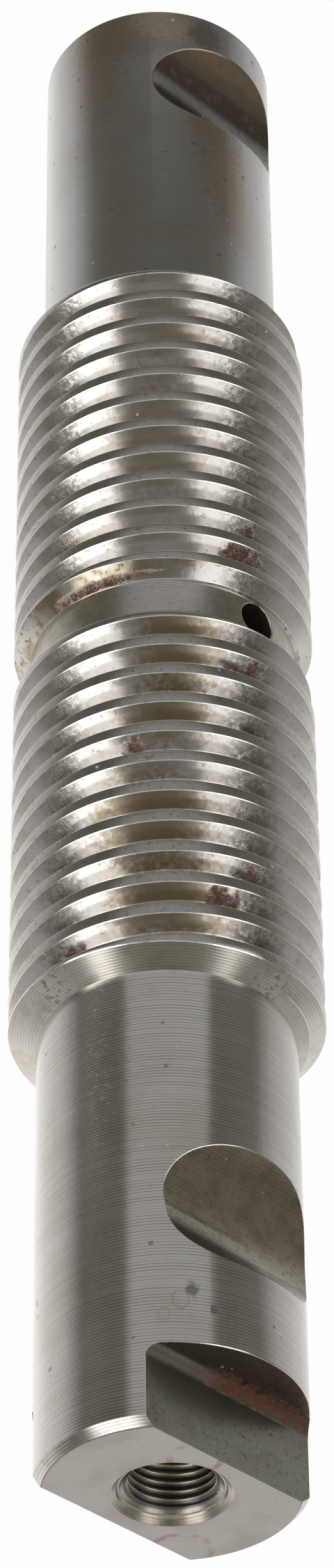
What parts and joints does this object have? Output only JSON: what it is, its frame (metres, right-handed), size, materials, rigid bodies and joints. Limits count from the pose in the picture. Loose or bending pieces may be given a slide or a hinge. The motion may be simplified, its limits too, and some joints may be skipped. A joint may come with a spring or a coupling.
{
  "type": "threaded spring pin",
  "caption": "One-piece steel leaf-spring pin: two plain journals, a coarse external thread split by a grease groove, lock-bolt notches, wrench flats and a tapped grease port.",
  "frame": {"origin": "on the pin's axis, halfway between the two end faces, which is the centre of the bounding box", "axes": "+Y along the axis, from the tapped end towards the far end; +Z square to the upper wrench flat, and the way both lock-bolt notches and the radial grease hole face; +X to the right when looking along +Y"},
  "size_m": [0.035, 0.2102, 0.035],
  "materials": {
    "turned_steel": "fine-turned oiled steel with light rust specks"
  },
  "bodies": {
    "root": {"spring_pin": "turned_steel"}
  },
  "joints": []
}
